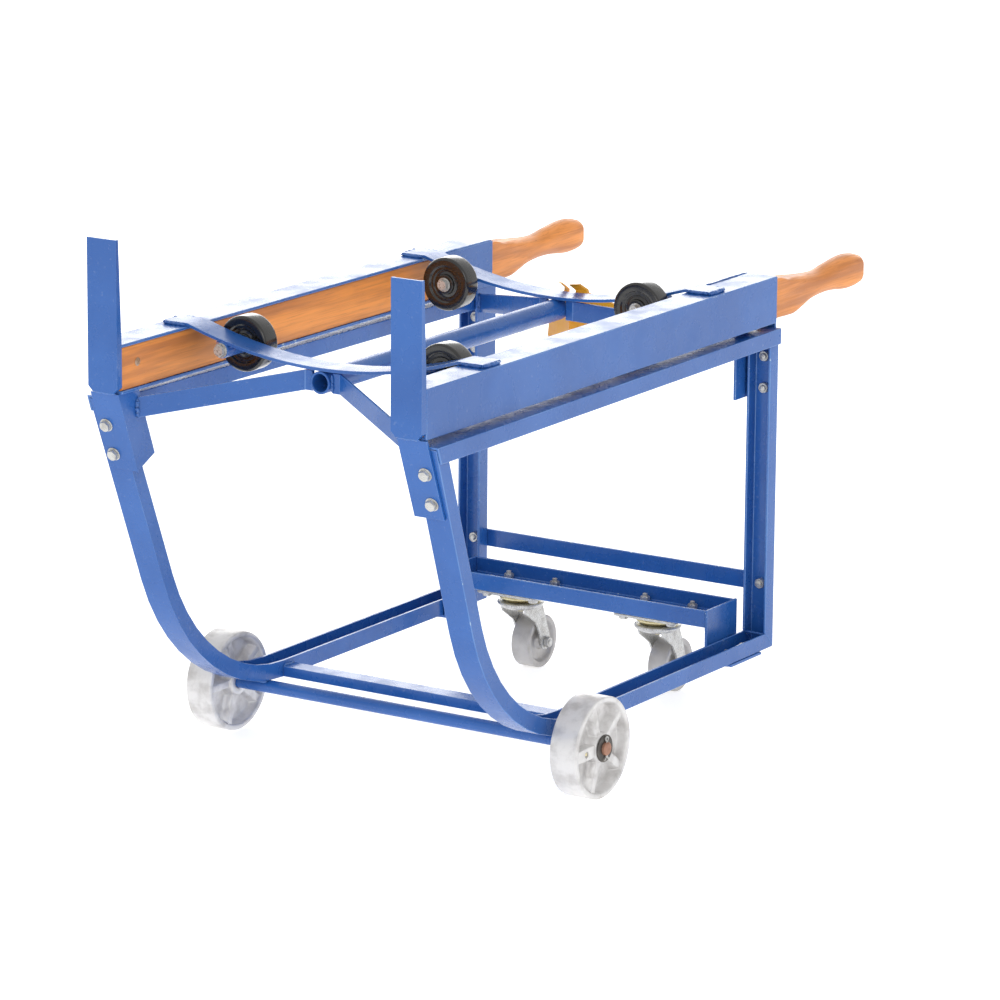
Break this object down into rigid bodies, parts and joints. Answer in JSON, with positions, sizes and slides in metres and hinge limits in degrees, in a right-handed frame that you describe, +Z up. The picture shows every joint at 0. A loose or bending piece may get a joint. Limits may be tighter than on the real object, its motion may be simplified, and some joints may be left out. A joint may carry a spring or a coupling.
{
  "type": "drum dolly",
  "caption": "Rotating drum cart: a channel frame with cradle straps and rollers, toe plates, a sliding hook, wooden handles, front wheels and rear swivel casters.",
  "frame": {"origin": "on the floor, under the centre of the bounding box", "axes": "+Z up; +Y from the toe plates towards the wooden handles; +X to the right of a person who faces the handles from the toe plates; the object is symmetric about the YZ plane"},
  "size_m": [0.71, 1.285, 0.825],
  "materials": {
    "blue_paint": "gloss enamel",
    "yellow_paint": "gloss enamel",
    "oiled_wood": "thin satin varnish",
    "black_phenolic": "moulded, semi-gloss",
    "cast_iron": "as cast, aluminium paint",
    "zinc_plate": "bright zinc"
  },
  "bodies": {
    "frame": {"axle_washer_left": "zinc_plate", "axle_washer_right": "zinc_plate", "caster_channel": "blue_paint", "caster_plate_left": "zinc_plate", "caster_plate_right": "zinc_plate", "centre_tube": "blue_paint", "channel_end_left": "blue_paint", "channel_end_right": "blue_paint", "cotter_pin_left": "zinc_plate", "cotter_pin_right": "zinc_plate", "cradle_strap_front": "blue_paint", "cradle_strap_rear": "blue_paint", "frame_bolt_left_lower": "zinc_plate", "frame_bolt_left_upper": "zinc_plate", "frame_bolt_right_lower": "zinc_plate", "frame_bolt_right_upper": "zinc_plate", "front_axle": "blue_paint", "front_bracket_left": "blue_paint", "front_bracket_right": "blue_paint", "front_cross_bar": "blue_paint", "front_leg_left": "blue_paint", "front_leg_right": "blue_paint", "handle_keeper_left": "blue_paint", "handle_keeper_right": "blue_paint", "rear_bracket_left": "blue_paint", "rear_bracket_right": "blue_paint", "rear_cross_bar": "blue_paint", "rear_leg_left": "blue_paint", "rear_leg_right": "blue_paint", "roller_bolt_front_left": "zinc_plate", "roller_bolt_front_right": "zinc_plate", "roller_bolt_rear_left": "zinc_plate", "roller_bolt_rear_right": "zinc_plate", "side_rail_left": "blue_paint", "side_rail_right": "blue_paint", "toe_plate_left": "blue_paint", "toe_plate_right": "blue_paint", "top_bar_left": "blue_paint", "top_bar_right": "blue_paint", "v_brace_front_left": "blue_paint", "v_brace_front_right": "blue_paint", "v_brace_rear_left": "blue_paint", "v_brace_rear_right": "blue_paint", "wood_handle_left": "oiled_wood", "wood_handle_right": "oiled_wood"},
    "hook": {"chime_hook": "yellow_paint"},
    "roller_front_left_body": {"roller_front_left": "black_phenolic"},
    "roller_front_right_body": {"roller_front_right": "black_phenolic"},
    "roller_rear_left_body": {"roller_rear_left": "black_phenolic"},
    "roller_rear_right_body": {"roller_rear_right": "black_phenolic"},
    "front_wheel_left_body": {"front_wheel_left": "cast_iron"},
    "front_wheel_right_body": {"front_wheel_right": "cast_iron"},
    "caster_swivel_left": {"caster_fork_left": "zinc_plate", "caster_bolt_left": "zinc_plate"},
    "caster_roll_left": {"caster_wheel_left": "cast_iron"},
    "caster_swivel_right": {"caster_fork_right": "zinc_plate", "caster_bolt_right": "zinc_plate"},
    "caster_roll_right": {"caster_wheel_right": "cast_iron"}
  },
  "joints": [
    {"name": "roller_front_left_spin", "type": "hinge", "parent": "frame", "child": "roller_front_left_body", "pos_m": [-0.172, -0.405, 0.64387], "axis": [0, 1, 0], "continuous": true},
    {"name": "roller_front_right_spin", "type": "hinge", "parent": "frame", "child": "roller_front_right_body", "pos_m": [0.172, -0.405, 0.64387], "axis": [0, 1, 0], "continuous": true},
    {"name": "roller_rear_left_spin", "type": "hinge", "parent": "frame", "child": "roller_rear_left_body", "pos_m": [-0.172, 0.133, 0.64387], "axis": [0, 1, 0], "continuous": true},
    {"name": "roller_rear_right_spin", "type": "hinge", "parent": "frame", "child": "roller_rear_right_body", "pos_m": [0.172, 0.133, 0.64387], "axis": [0, 1, 0], "continuous": true},
    {"name": "front_wheel_left_spin", "type": "hinge", "parent": "frame", "child": "front_wheel_left_body", "pos_m": [-0.3235, -0.2498, 0.0762], "axis": [1, 0, 0], "continuous": true},
    {"name": "front_wheel_right_spin", "type": "hinge", "parent": "frame", "child": "front_wheel_right_body", "pos_m": [0.3235, -0.2498, 0.0762], "axis": [1, 0, 0], "continuous": true},
    {"name": "caster_swivel_left_turn", "type": "hinge", "parent": "frame", "child": "caster_swivel_left", "pos_m": [-0.126, 0.2715, 0.11], "axis": [0, 0, 1], "continuous": true},
    {"name": "caster_wheel_left_spin", "type": "hinge", "parent": "caster_swivel_left", "child": "caster_roll_left", "pos_m": [-0.126, 0.3115, 0.0425], "axis": [1, 0, 0], "continuous": true},
    {"name": "caster_swivel_right_turn", "type": "hinge", "parent": "frame", "child": "caster_swivel_right", "pos_m": [0.126, 0.2715, 0.11], "axis": [0, 0, 1], "continuous": true},
    {"name": "caster_wheel_right_spin", "type": "hinge", "parent": "caster_swivel_right", "child": "caster_roll_right", "pos_m": [0.126, 0.3115, 0.0425], "axis": [1, 0, 0], "continuous": true},
    {"name": "hook_slide", "type": "slide", "parent": "frame", "child": "hook", "axis": [0, 1, 0], "range_m": [0, 0.1]}
  ]
}
